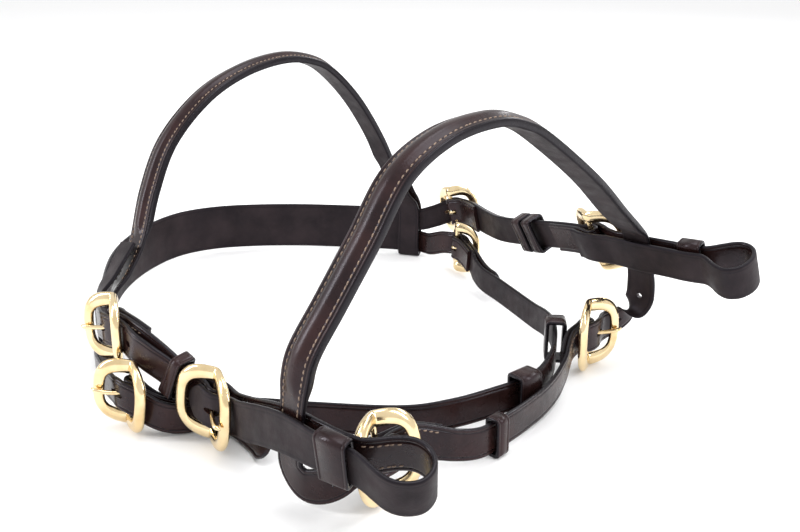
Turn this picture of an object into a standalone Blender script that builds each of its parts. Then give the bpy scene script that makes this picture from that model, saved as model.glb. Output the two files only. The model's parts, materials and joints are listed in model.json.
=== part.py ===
"""Leather headcollar with a padded browband and noseband and eight brass buckles.

Every strap is a flat ribbon that follows a carrier: a smooth curve through a few hand-placed
points, each with the direction of the strap's width. Straps, keepers and buckles are placed
on a carrier by s, the distance along it, and n, the height above it on its outer side.
Lengths are in millimetres here and become metres when a mesh is made. X runs from poll to
nose, +Y to the horse's left and +Z up from the surface that the headcollar stands on.
"""
import bmesh
import bpy
import numpy as np
from math import ceil, cos, floor, hypot, pi, radians, sin
from mathutils import Matrix

MM = 0.001
ORIGIN = (-0.7, -0.2, 0.09)  # middle of the footprint on the surface below

# ---- driving dimensions -------------------------------------------------------------------
LEATHER = 2.2            # one layer of bridle leather
GAP = 0.35               # air left between two pieces that touch
WIDE = 19.0              # cheek, bit and noseband straps
NARROW = 16.0            # billets of the headpiece and the throat strap
SLIT = 0.6               # slit between the headpiece's two billets
RAISED = 6.4             # padded fronts of the browband and the noseband
FRONT = 17.0             # front of the noseband, where it is plain
SWELL = 1.16             # how much wider its padded part is
ROW = 6.0                # longest facet along a strap
HOLE = 3.2               # width of a punched hole or tongue slot
BAR = 1.5                # radius of a buckle's hinge bar
WIRE = 1.1               # radius of a buckle tongue
SIDE_LIFT = 7.6          # height of a buckle's side bars above its hinge bar
KEEPER = 1.9             # thickness of a keeper's leather

# ---- carriers: x, y, z and the direction of the width --------------------------------------
UP = (0, 0, 1)
DOWN = (0, 0, -1)
HEAD_Z = 19.5
HEAD_MAIN = [(-80, -113.3), (-105, -101.5), (-145, -74), (-172, -47), (-190, -18), (-198, 10),
             (-193, 36), (-178, 60), (-154, 86), (-125, 110), (-102, 127), (-88, 135)]
CHEEK_RIGHT = [
    (-80, -113.3, 27.8, *UP), (-72, -117.8, 28, *UP), (-64, -123.5, 30, *UP),
    (-54, -130.5, 36, *UP), (-40, -136.5, 41, .1, .05, 1), (-25, -137, 43, .1, .05, 1),
    (-10, -137, 43, .1, .05, 1),
    (8, -135, 38.5, *UP), (24, -131.5, 30, *UP), (34, -129.5, 26, *UP), (45, -128, 22.6, *UP),
    (56, -127.6, 21.8, *UP), (70, -128.2, 24.5, *UP), (92, -130.4, 30.8, *UP),
    (108, -132, 34.2, *UP), (124, -132.4, 35.2, 0, -.1, 1), (138, -130.8, 35, 0, -.2, 1),
    (156, -125, 33.5, 0, -.3, 1), (176, -118, 31, 0, -.3, 1)]
CHEEK_LEFT = [
    (-88, 135, 27.8, *DOWN), (-79, 139.5, 28.2, *DOWN), (-69, 145, 32, *DOWN),
    (-56, 149.5, 37.5, 0, .1, -1), (-40, 147, 39.5, 0, .15, -1), (-14, 134, 41, 0, .25, -1),
    (9, 122, 44, 0, .35, -1), (37, 112, 50, 0, .4, -1), (71, 102, 58, 0, .45, -1),
    (86, 98, 61, 0, .45, -1), (101, 94.5, 63.3, 0, .45, -1), (116, 92, 64.4, 0, .42, -1),
    (131, 90, 65, 0, .4, -1), (150, 90, 66, 0, .4, -1), (163, 89, 67, 0, .4, -1),
    (180, 90, 69, 0, .4, -1), (200, 92, 71, 0, .4, -1)]
THROAT = [
    (-80, -113.3, 11.2, *UP), (-72, -117.8, 11.2, *UP), (-63, -125, 11.6, *UP),
    (-47, -138, 15, *UP), (-17, -147.5, 18.8, *UP), (0, -146, 19, *UP), (12, -141, 13.2, *UP),
    (20, -132, 9.4, *UP), (31, -117.5, 9.2, *UP), (50, -104, 10.5, *UP), (71, -91, 11.5, *UP),
    (103, -64, 11.5, *UP), (116, -42, 11.8, *UP), (123, -17, 12, *UP), (126, -1, 12.2, *UP),
    (126, 14, 13.4, *UP), (121, 30, 16.5, *UP), (111, 46, 18, *UP), (99, 60, 18, *UP),
    (86, 71, 16, *UP), (70, 81, 13, *UP), (50, 91, 12, *UP), (27, 101, 12, *UP),
    (4, 110, 12.5, *UP), (-20, 124, 17, *UP), (-36, 131, 19.4, *UP), (-52, 134.5, 18, *UP),
    (-68, 137, 12.5, *UP), (-79, 139.3, 11.2, *UP), (-88, 135, 11.2, *UP)]
BILLET = [
    (-80, -113.3, 11.2, *UP), (-72, -117.8, 11.2, *UP), (-63, -125, 11.6, *UP),
    (-47, -138, 15, *UP), (-17, -147.5, 18.8, *UP), (0, -146, 19, *UP), (12, -141, 13.2, *UP),
    (21, -134, 9.2, *UP), (30, -122.5, 8.6, *UP), (42, -117.5, 8.6, *UP),
    (62, -118.5, 8.4, 0, .3, 1), (76, -122, 7.8, 0, .6, 1)]
LEAN, UNLEAN = (-.22, 0, 1), (.22, 0, -1)
REAR_NOSE = [
    (128.8, -121, 20.4, *LEAN), (129, -104, 20.4, *LEAN), (129.4, -86, 20, *LEAN),
    (133, -74, 16.5, -.1, 0, 1), (138.5, -63, 12.5, *UP), (142, -52, 10.5, *UP),
    (142.5, -41, 10.5, *UP), (142, -30, 10.5, *UP),
    (140, -16, 9.8, *UP), (136, 6, 9.6, *UP), (130, 26, 11.5, *UP), (122, 41, 16, *UP),
    (117.5, 52, 19, *UP), (116.5, 68, 20.4, *UP), (116.5, 84, 20.4, *UP)]
FRONT_NOSE = [
    (133, -74, 16.5, .1, 0, -1), (129.4, -86, 20, *UNLEAN), (129, -104, 20.4, *UNLEAN),
    (128.8, -118.5, 20.4, .1, 0, -1), (124, -126.5, 14.5, -.1, 0, -1),
    (114, -131, 11, -.35, 0, -1),
    (106, -132, 16.5, -.8, .05, -.5), (105.5, -131.9, 26, -1, .1, -.1),
    (107, -131.9, 36, -1, .1, 0), (108, -131.7, 47, -1, .1, 0), (109, -131, 58, -1, 0, 0),
    (111, -128, 71, -1, 0, 0), (115, -117, 90, -1, 0, 0), (119, -102, 114, -1, 0, 0),
    (121, -85, 138, -1, 0, 0), (123, -61, 151, -1, 0, 0), (125, -34, 154.5, -1, 0, 0),
    (126, -15, 150.5, -1, 0, 0), (127, 2, 142, -1, 0, 0), (129, 38, 117, -1, 0, 0),
    (130, 64, 95, -1, 0, 0), (130.5, 78, 84, -1, .08, 0), (131, 85.6, 76, -1, .08, 0),
    (131, 90, 65, -1, .08, 0), (131, 94, 55, -1, .08, 0), (130.5, 97, 45, -1, 0, 0),
    (128.5, 99, 34, -1, 0, -.2), (122, 96, 24.5, -.4, 0, -.9), (116.5, 84, 20.4, *DOWN),
    (116.5, 68, 20.4, *DOWN), (117.5, 52, 19, *DOWN), (122, 41, 16, *DOWN)]
SLANT_R, SLANT_L = (-.865, .5, 0), (-.886, -.464, 0)
BROWBAND = [
    (-82.5, -95, 64, -.97, .2, 0), (-80, -107.6, 50, -.93, .35, 0), (-79.9, -118, 37, *SLANT_R),
    (-80, -118.6, 14, *SLANT_R), (-80, -118.6, 5, *SLANT_R), (-79.3, -117.2, 1.8, *SLANT_R),
    (-78, -114.4, 1.2, *SLANT_R), (-77, -112.4, 1.8, *SLANT_R), (-76.5, -111.5, 5, *SLANT_R),
    (-76.5, -111.5, 14, *SLANT_R), (-76.5, -111.1, 37, *SLANT_R),
    (-78.5, -100, 50, -.95, .3, 0), (-82, -89.5, 64, -1, .1, 0), (-88, -76.5, 90, -1, 0, 0),
    (-90, -61, 116, -1, 0, 0), (-90, -36, 138, -1, 0, 0), (-90, -8, 150.5, -1, 0, 0),
    (-90, 22, 155.5, -1, 0, 0), (-90, 45, 152.5, -1, 0, 0), (-90, 62, 144, -1, 0, 0),
    (-90, 84, 123, -1, 0, 0), (-90, 104, 95, -1, 0, 0), (-89, 116, 70, -1, -.1, 0),
    (-87, 125, 49, -.95, -.3, 0), (-85.5, 132.4, 37, *SLANT_L), (-85.5, 132.6, 14, *SLANT_L),
    (-85.5, 132.6, 5, *SLANT_L), (-86, 133.6, 1.8, *SLANT_L), (-87, 135.5, 1.2, *SLANT_L),
    (-88, 137.4, 1.8, *SLANT_L), (-88.5, 138.4, 5, *SLANT_L), (-88.5, 138.4, 14, *SLANT_L),
    (-88.5, 138.2, 37, *SLANT_L), (-88.5, 132, 50, -.95, -.3, 0),
    (-89, 125, 64, -.97, -.2, 0)]


def smooth(rows, steps=12):
    """Catmull-Rom curve through rows of numbers, as one array."""
    rows = np.array(rows, float)
    rows = np.vstack([rows[0] * 2 - rows[1], rows, rows[-1] * 2 - rows[-2]])
    curve = []
    for a, b, c, d in zip(rows, rows[1:], rows[2:], rows[3:]):
        for t in np.arange(steps) / steps:
            curve.append(0.5 * (2 * b + (c - a) * t + (2 * a - 5 * b + 4 * c - d) * t * t
                                + (3 * b - a - 3 * c + d) * t ** 3))
    return np.array(curve + [rows[-2]])


def unit(vector):
    return vector / np.linalg.norm(vector)


class Carrier:
    """A smooth curve in space with a width direction, measured by its length s."""

    STEPS = 12
    SEAT = 5.0           # the carrier is straight this far on both sides of a hinge bar

    def __init__(self, rows, *bars):
        self.bars = []
        table = smooth(rows, self.STEPS)
        self.places, self.widths = table[:, :3], table[:, 3:]
        lengths = np.linalg.norm(np.diff(self.places, axis=0), axis=1)
        self.run = np.concatenate([[0], np.cumsum(lengths)])
        self.length = self.run[-1]
        self.bars = [self.knot(index) for index in bars]

    def knot(self, index):
        """Length at a control point."""
        return self.run[int(index * self.STEPS)]

    def place(self, s):
        inside = min(max(s, 0), self.length)
        point = np.array([np.interp(inside, self.run, column) for column in self.places.T])
        if s != inside:
            ends = (self.places[1], self.places[0]) if s < 0 else self.places[-2:]
            point = point + unit(ends[1] - ends[0]) * abs(s - inside)
        return point

    def axes(self, s):
        """Unit vectors along the strap, across it and out of its outer face."""
        s = min([bar for bar in self.bars if abs(bar - s) < self.SEAT], default=s)
        along = unit(self.place(s + 1.5) - self.place(s - 1.5))
        inside = min(max(s, 0), self.length)
        across = np.array([np.interp(inside, self.run, column) for column in self.widths.T])
        across = unit(across - along * (across @ along))
        return along, across, np.cross(along, across)

    def point(self, s, n, y):
        along, across, out = self.axes(s)
        bar = min([bar for bar in self.bars if abs(bar - s) < self.SEAT], default=s)
        return self.place(bar) + (s - bar) * along + n * out + y * across


def material(name, colour, roughness, metallic=0.0):
    made = bpy.data.materials.new(name)
    made.use_nodes = True
    shader = made.node_tree.nodes["Principled BSDF"]
    shader.inputs["Base Color"].default_value = (*colour, 1)
    shader.inputs["Roughness"].default_value = roughness
    shader.inputs["Metallic"].default_value = metallic
    made.diffuse_color = (*colour, 1)
    return made


def add_object(name, points, faces, finish, matrix=None):
    """One mesh object; points in millimetres, in the world or in the matrix's own frame."""
    mesh = bpy.data.meshes.new(name)
    shift = (0, 0, 0) if matrix else ORIGIN
    mesh.from_pydata([tuple((np.array(p) - shift) * MM) for p in points], [], faces)
    mesh.materials.append(finish)
    outward = bmesh.new()
    outward.from_mesh(mesh)
    bmesh.ops.recalc_face_normals(outward, faces=outward.faces)
    outward.to_mesh(mesh)
    outward.free()
    mesh.shade_smooth()
    mesh.set_sharp_from_angle(angle=radians(35))
    thing = bpy.data.objects.new(name, mesh)
    bpy.context.collection.objects.link(thing)
    if matrix:
        thing.matrix_world = matrix
    return thing


def slab(name, corner, rows, columns, solid, finish):
    """Closed slab of leather on a grid of cells, with a wall wherever a cell is left out.

    corner(i, j, side) places a grid corner on the inner (0) or outer (1) face.
    """
    points, index, faces = [], {}, []

    def vertex(i, j, side):
        key = (i, j, side)
        if key not in index:
            index[key] = len(points)
            points.append(corner(i, j, side))
        return index[key]

    def filled(i, j):
        return 0 <= i < rows - 1 and 0 <= j < columns - 1 and solid(i, j)

    for i in range(rows - 1):
        for j in range(columns - 1):
            if not filled(i, j):
                continue
            ring = [(i, j), (i + 1, j), (i + 1, j + 1), (i, j + 1)]
            beside = [(i, j - 1), (i + 1, j), (i, j + 1), (i - 1, j)]
            faces.append([vertex(*c, 1) for c in ring])
            faces.append([vertex(*c, 0) for c in reversed(ring)])
            for k, other in enumerate(beside):
                if not filled(*other):
                    a, b = ring[k], ring[(k + 1) % 4]
                    faces.append([vertex(*a, 0), vertex(*b, 0), vertex(*b, 1), vertex(*a, 1)])
    return add_object(name, points, faces, finish)


def straight(*stops):
    """Route in (s, n) through stops, cut where every strap on the same carrier is cut."""
    route = []
    for (s0, n0), (s1, n1) in zip(stops, stops[1:]):
        low, high = sorted((s0, s1))
        cuts = [k * ROW for k in range(ceil((low + 1.5) / ROW), floor((high - 1.5) / ROW) + 1)]
        if s1 < s0:
            cuts.reverse()
        route += [(s0, n0)] + [(c, n0 + (n1 - n0) * (c - s0) / (s1 - s0)) for c in cuts]
    return route + [stops[-1]]


def turn(s, n, radius, start, sweep, parts=8):
    """Route round an arc about (s, n), angles in degrees."""
    angles = [radians(start + sweep * k / parts) for k in range(parts + 1)]
    return [(s + radius * cos(a), n + radius * sin(a)) for a in angles]


def ribbon(name, carrier, route, width, finish, holes=(), tips=(0, 0), thick=LEATHER,
           swell=lambda s: 1.0):
    """Strap whose middle layer follows a route on a carrier.

    holes: (s0, s1) stretches where the middle column is left out; tips: length of the
    rounded end at the route's start and finish; thick: a number or a function of s;
    swell: share of the width at s.
    """
    route = np.array(route, float)
    run = np.concatenate([[0], np.cumsum(np.hypot(*np.diff(route, axis=0).T))])
    slope = np.gradient(route, run, axis=0)
    columns = (-width / 2, -HOLE / 2, HOLE / 2, width / 2) if holes else (-width / 2, width / 2)

    def narrow(i):
        factor = swell(route[i][0])
        for tip, left in zip(tips, (run[i], run[-1] - run[i])):
            if tip and left < tip:
                factor = min(factor, max(0.3, (1 - (1 - left / tip) ** 2) ** 0.5))
        return factor

    def corner(i, j, side):
        s, n = route[i]
        ds, dn = slope[i] / hypot(*slope[i])
        height = thick(s) if callable(thick) else thick
        lift = (side - 0.5) * height
        half = width / 2 * narrow(i)
        y = columns[j] * narrow(i) if abs(columns[j]) == width / 2 else min(
            max(columns[j], -half * 0.5), half * 0.5)
        return carrier.point(s - dn * lift, n + ds * lift, y)

    def solid(i, j):
        if not holes or j != 1:
            return True
        s = (route[i][0] + route[i + 1][0]) / 2
        return not any(low < s < high for low, high in holes)

    return slab(name, corner, len(route), len(columns), solid, finish)


def keeper(name, carrier, s, low, high, width, length, finish, room=GAP):
    """Loop of leather round a stack of straps that reaches from n = low to n = high."""
    corner_parts = 2
    inner, outer = [], []
    middle, tall, wide = (low + high) / 2, (high - low) / 2 + room, width / 2 + room
    for quarter in range(4):
        for k in range(corner_parts + 1):
            angle = pi / 2 * (quarter + k / corner_parts)
            reach_n = (tall - 0.8) * (1 if cos(pi / 4 + pi / 2 * quarter) > 0 else -1)
            reach_y = (wide - 0.8) * (1 if sin(pi / 4 + pi / 2 * quarter) > 0 else -1)
            for ring, radius in ((inner, 0.8), (outer, 0.8 + KEEPER)):
                ring.append((middle + reach_n + radius * cos(angle),
                             reach_y + radius * sin(angle)))
    count = len(inner)
    origin = carrier.place(s)
    points = [carrier.point(place, n, y) - origin for place in (s - length / 2, s + length / 2)
              for ring in (inner, outer) for n, y in ring]
    faces = []
    for k in range(count):
        m = (k + 1) % count
        inner_0, outer_0, inner_1, outer_1 = (block * count for block in range(4))
        faces.append([outer_0 + k, outer_0 + m, outer_1 + m, outer_1 + k])
        faces.append([inner_0 + k, inner_1 + k, inner_1 + m, inner_0 + m])
        faces.append([inner_0 + k, inner_0 + m, outer_0 + m, outer_0 + k])
        faces.append([inner_1 + k, outer_1 + k, outer_1 + m, inner_1 + m])
    return add_object(name, points, faces, finish,
                      Matrix.Translation((origin - ORIGIN) * MM))


# ---- buckle ---------------------------------------------------------------------------------
SIDE_BAR = (3.2, 2.1)    # half-width and half-thickness of a side bar
END_BAR = (3.8, 2.2)     # the same for the swelled ends
EYE = BAR + GAP + LEATHER / 2          # middle of the leather folded round the hinge bar
LAYER = (LEATHER + GAP) / 2            # middle of each layer of a folded strap end
ON_TOP = LAYER + LEATHER + GAP         # middle of a billet that lies on a folded end
OVER_EYE = EYE + LEATHER + GAP         # middle of a billet where it rides over the eye
SLOT = EYE + LEATHER / 2 + 0.75        # reach of the tongue's slot from the hinge bar


def seat(carrier, s, facing):
    """Matrix of a buckle: x towards the tongue's tip, y along the hinge bar, z outward."""
    along, across, out = carrier.axes(s)
    place = (carrier.place(s) - ORIGIN) * MM
    columns = [*zip(along * facing, across * facing, out, place)]
    return Matrix([list(row) for row in columns] + [(0, 0, 0, 1)])


def ring_of_tubes(centres, sections, closed):
    """Points and faces of a tube whose sections are lists of offsets round each centre."""
    sides = len(sections[0])
    points = [c + offset for c, section in zip(centres, sections) for offset in section]
    faces = []
    for i in range(len(centres) if closed else len(centres) - 1):
        a, b = i * sides, (i + 1) % len(centres) * sides
        for k in range(sides):
            m = (k + 1) % sides
            faces.append([a + k, a + m, b + m, b + k])
    if not closed:
        faces += [list(range(sides))[::-1], list(range(len(points) - sides, len(points)))]
    return points, faces


def frame_mesh(reach, half_height, finish):
    """Oval ring with raised side bars, joined to its hinge bar."""
    parts, sides, square = 24, 6, 3.2
    centres, sections = [], []
    for i in range(parts):
        angle = 2 * pi * (i + 0.5) / parts
        c, q = cos(angle), sin(angle)
        x = reach * abs(c) ** (2 / square) * (1 if c > 0 else -1)
        y = half_height * abs(q) ** (2 / square) * (1 if q > 0 else -1)
        side = (abs(x) / reach) ** 0.9
        outward = unit(np.array([np.sign(x) * abs(x / reach) ** (square - 1) / reach,
                                 np.sign(y) * abs(y / half_height) ** (square - 1) / half_height,
                                 0]))
        wide, tall = (side ** 2 * a + (1 - side ** 2) * b for a, b in zip(SIDE_BAR, END_BAR))
        centres.append(np.array([x, y, SIDE_LIFT * side]))
        sections.append([outward * wide * cos(2 * pi * k / sides)
                         + np.array([0, 0, tall * sin(2 * pi * k / sides)])
                         for k in range(sides)])
    points, faces = ring_of_tubes(centres, sections, closed=True)
    ring = add_object("ring", points, faces, finish, Matrix())
    bar_ends = [np.array([0, y, 0]) for y in (-half_height, half_height)]
    round_bar = [[np.array([BAR * cos(pi * k / 4), 0, BAR * sin(pi * k / 4)])
                  for k in range(8)] for end in bar_ends]
    points, faces = ring_of_tubes(bar_ends, round_bar, closed=False)
    bar = add_object("bar", points, faces, finish, Matrix())
    join = ring.modifiers.new("join", "BOOLEAN")
    join.operation, join.object = "UNION", bar
    graph = bpy.context.evaluated_depsgraph_get()
    joined = bpy.data.meshes.new_from_object(ring.evaluated_get(graph))
    joined.name = "buckle_frame"
    for helper in (ring, bar):
        bpy.data.objects.remove(helper)
    return joined


def tongue_mesh(reach, finish):
    """Wire bent round the hinge bar, rising through the billet to rest on the side bar."""
    sides, hook = 6, BAR + GAP + WIRE
    rest = SIDE_LIFT + SIDE_BAR[1] + GAP + WIRE
    route = [(hook * cos(radians(a)), hook * sin(radians(a))) for a in range(350, 80, -30)]
    route += [(2.6, 4.2), (reach * 0.45, rest * 0.68), (reach * 0.82, rest - 0.1),
              (reach + 1.2, rest + 0.1)]
    centres = [np.array([x, 0, z]) for x, z in route]
    slope = np.gradient(np.array(route), axis=0)
    sections = []
    for i, (dx, dz) in enumerate(slope):
        up = unit(np.array([-dz, 0, dx]))
        radius = WIRE * (0.75 if i == len(slope) - 1 else 1)
        sections.append([radius * (up * sin(2 * pi * k / sides)
                                   + np.array([0, 1, 0]) * cos(2 * pi * k / sides))
                         for k in range(sides)])
    points, faces = ring_of_tubes(centres, sections, closed=False)
    helper = add_object("tongue", points, faces, finish, Matrix())
    mesh = helper.data
    bpy.data.objects.remove(helper)
    return mesh


def place_buckle(name, meshes, carrier, s, facing):
    for part, mesh in zip(("frame", "tongue"), meshes):
        thing = bpy.data.objects.new(f"{name}_{part}", mesh)
        bpy.context.collection.objects.link(thing)
        thing.matrix_world = seat(carrier, s, facing)


# ---- routes shared by several straps ---------------------------------------------------------
def eye_from_below(s, facing):
    """Folded end: along the inner layer, round the hinge bar and back on the outer layer.

    facing is the direction from the strap to its hinge bar along the carrier.
    """
    arc = turn(0, 0, EYE, -90, 180)
    lead = [(-10, -LAYER), (-6.5, -LAYER - 0.25), (-3, -EYE + 0.45)]
    back = [(s0, -n0) for s0, n0 in reversed(lead)]
    return [(s + facing * s0, n0) for s0, n0 in lead + arc + back]


def over_eye(s, facing, tongue_side=1.2):
    """Billet coming in on the tongue side, over the hinge bar and on along the folded end."""
    steps = [(17, tongue_side), (12, tongue_side + 0.7), (8.8, 2.9), (4.6, 4.7), (0, OVER_EYE),
             (-4.6, 5.0), (-9, ON_TOP + 0.15), (-13, ON_TOP)]
    return [(s + facing * s0, n0) for s0, n0 in steps]


def punch(s, facing):
    """Stretch of a billet's hole that the tongue comes through."""
    return tuple(sorted((s - facing * 0.6, s + facing * 8.8)))


def cheekpiece(name, carrier, upper, lower, overlap, finish):
    """Strap folded round the hinge bars of two buckles, its ends turned back inside."""
    start, end = eye_from_below(upper, -1), eye_from_below(lower, 1)[::-1]
    route = (straight((upper + overlap, -LAYER), start[0])[:-1] + start[:-1]
             + straight(start[-1], end[0])[:-1] + end[:-1]
             + straight(end[-1], (lower - overlap, -LAYER)))
    return ribbon(name, carrier, route, WIDE, finish,
                  holes=[(-99, upper + SLOT), (lower - SLOT, 999)])


def bit_strap(name, carrier, buckle, keeper_s, reach, finish):
    """Strap sewn inside the cheekpiece, round the bit loop and back out to its buckle."""
    apart = LEATHER + GAP + 0.65
    under = -ON_TOP - 0.1
    inner = [(buckle - 12, under), (buckle - 9, under - 0.2), (buckle - 4.5, -5.3),
             (buckle, -OVER_EYE - 0.1), (buckle + 5, -5.2), (buckle + 14, -3.6),
             (buckle + 24, -apart)]
    share = [(0, -apart), (.16, -apart - 2.2), (.38, -10), (.62, -12.5), (.86, -10),
             (1, -3.5), (.98, 4), (.82, 8.5), (.6, 9.8), (.36, 7.5), (.16, apart + 1.6),
             (0, apart)]
    first = keeper_s + 8
    bent = [tuple(p) for p in smooth([(first + f * (reach - 8), n) for f, n in share], 3)]
    outer = over_eye(buckle, 1, 1.5)
    route = (inner[:-1] + straight(inner[-1], bent[0])[:-1] + bent[:-1]
             + straight(bent[-1], (buckle + 26, apart), outer[0])[:-1] + outer)
    return ribbon(name, carrier, route, WIDE, finish, holes=[punch(buckle, 1)], tips=(0, 4))


def buckled_strap(name, carrier, bar_a, bar_b, width, doubled, finish):
    """Strap with an eye round a hinge bar at both ends, each end doubled back inside."""
    start, end = eye_from_below(bar_a, -1), eye_from_below(bar_b, 1)[::-1]
    route = (straight((bar_a + doubled, -LAYER), start[0])[:-1] + start[:-1]
             + straight(start[-1], (bar_a + doubled, LAYER), (bar_a + doubled + 10, 0),
                        (bar_b - doubled - 10, 0), (bar_b - doubled, LAYER), end[0])[:-1]
             + end[:-1]
             + straight(end[-1], (bar_b - doubled, -LAYER)))
    return ribbon(name, carrier, route, width, finish,
                  holes=[(-99, bar_a + SLOT), (bar_b - SLOT, 999)])


def padded(start, end):
    """Thickness along a strap that is padded between two lengths."""
    def thick(s):
        rise = min(max((s - start) / 12, 0), 1, max((end - s) / 12, 0))
        return LEATHER + (RAISED - LEATHER) * rise * rise * (3 - 2 * rise)
    return thick


def swelled(start, end):
    """Share of the width along a strap that is broader between two lengths."""
    def share(s):
        return 1 + (SWELL - 1) * min(max((s - start) / 20, 0), 1, max((end - s) / 20, 0))
    return share


def noseband_front(carrier, finish):
    """Padded front whose two plain ends are billets for the noseband's buckles."""
    bar_r, bar_l = carrier.bars
    cross_r, cross_l = carrier.knot(8), carrier.knot(23)
    enter, leave = over_eye(bar_r, 1, 1.0)[::-1], over_eye(bar_l, -1, 1.0)
    route = (enter[:-1] + straight(enter[-1], (bar_r + 34, 0), (cross_r, 0), (cross_l, 0),
                        (bar_l - 34, 0), leave[0])[:-1] + leave)
    ribbon("noseband_front", carrier, route, FRONT, finish, tips=(6, 6),
           thick=padded(cross_r + 12, cross_l - 12), holes=[punch(bar_r, 1), punch(bar_l, -1)],
           swell=swelled(cross_r + 8, cross_l - 14))


def rows_of(carrier, *stops):
    """Rows along a route: place, across, outward and s."""
    route = straight(*stops)
    slope = np.gradient(np.array(route, float), axis=0)
    rows = []
    for (s, n), (ds, dn) in zip(route, slope):
        along, across, out = carrier.axes(s)
        normal = unit(out * abs(ds) - along * dn * np.sign(ds))
        rows.append((carrier.point(s, n, 0), across, normal, s))
    return rows


def paired(low, top):
    """Rows of two billets side by side, the shorter one filled up at its tip."""
    count = max(len(low), len(top))

    def filled(rows):
        extra = count - len(rows)
        last, tip = rows[-2:]
        shares = [(k + 1) / (extra + 1) for k in range(extra)]
        more = [tuple(a + (b - a) * f for a, b in zip(last, tip)) for f in shares]
        return rows[:-1] + more + rows[-1:]
    return list(zip(filled(low), filled(top)))


def headpiece(cheek_r, cheek_l, throat, billet, bars, finish):
    """Crown strap on edge, slit at both ends into a cheek billet above a throat billet."""
    upper_r, lower_r, upper_l, throat_r, throat_l = bars
    main = Carrier([(x, y, HEAD_Z, *UP) for x, y in HEAD_MAIN])
    middle, half = 42, (NARROW + SLIT) / 2
    right = paired(
        rows_of(billet, (0, 0), *over_eye(throat_r, -1), (throat_r + 15, ON_TOP + 0.5),
                (throat_r + 22, ON_TOP), (throat_r + 34, 0.6), (billet.length, 0)),
        rows_of(cheek_r, (0, 0), *over_eye(upper_r, -1), (upper_r + 25, 6.3),
                (upper_r + 36, 5.6), (lower_r - 30, ON_TOP), (lower_r - 21, ON_TOP)))
    left = paired(
        rows_of(throat, (throat.length, 0), *over_eye(throat_l, 1), (throat_l - 66, ON_TOP)),
        rows_of(cheek_l, (0, 0), *over_eye(upper_l, -1), (upper_l + 84, ON_TOP)))
    punches = (punch(upper_r, -1), punch(throat_r, -1)), (punch(upper_l, -1), punch(throat_l, 1))

    rows = [(*pair, punches[0]) for pair in right[::-1]]
    for k in range(1, middle):
        place = main.place(main.length * k / middle)
        along, across, out = main.axes(main.length * k / middle)
        rows.append(((place - across * half, across, out, 0),
                     (place + across * half, across, out, 0), None))
    rows += [(*pair, punches[1]) for pair in left]
    columns = (-NARROW / 2, -HOLE / 2, HOLE / 2, NARROW / 2)
    centre = np.array([0, 10, 0])

    def corner(i, j, side):
        place, across, out, s = rows[i][j // 4]
        up = across if across[2] > 0 else -across
        outward = out if out[:2] @ (place - centre)[:2] > 0 else -out
        taper = 0.45 if i in (0, len(rows) - 1) else 1
        return place + up * columns[j % 4] * taper + outward * (side - 0.5) * LEATHER

    def solid(i, j):
        holes = rows[i][2] or rows[i + 1][2]
        if j == 3 or holes is None:
            return not (rows[i][2] and rows[i + 1][2])
        if j in (1, 5):
            low, high = holes[0 if j == 5 else 1]
            middle_s = (rows[i][j // 4][3] + rows[i + 1][j // 4][3]) / 2
            return not low < middle_s < high
        return True
    slab("headpiece", corner, len(rows), 8, solid, finish)


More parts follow.
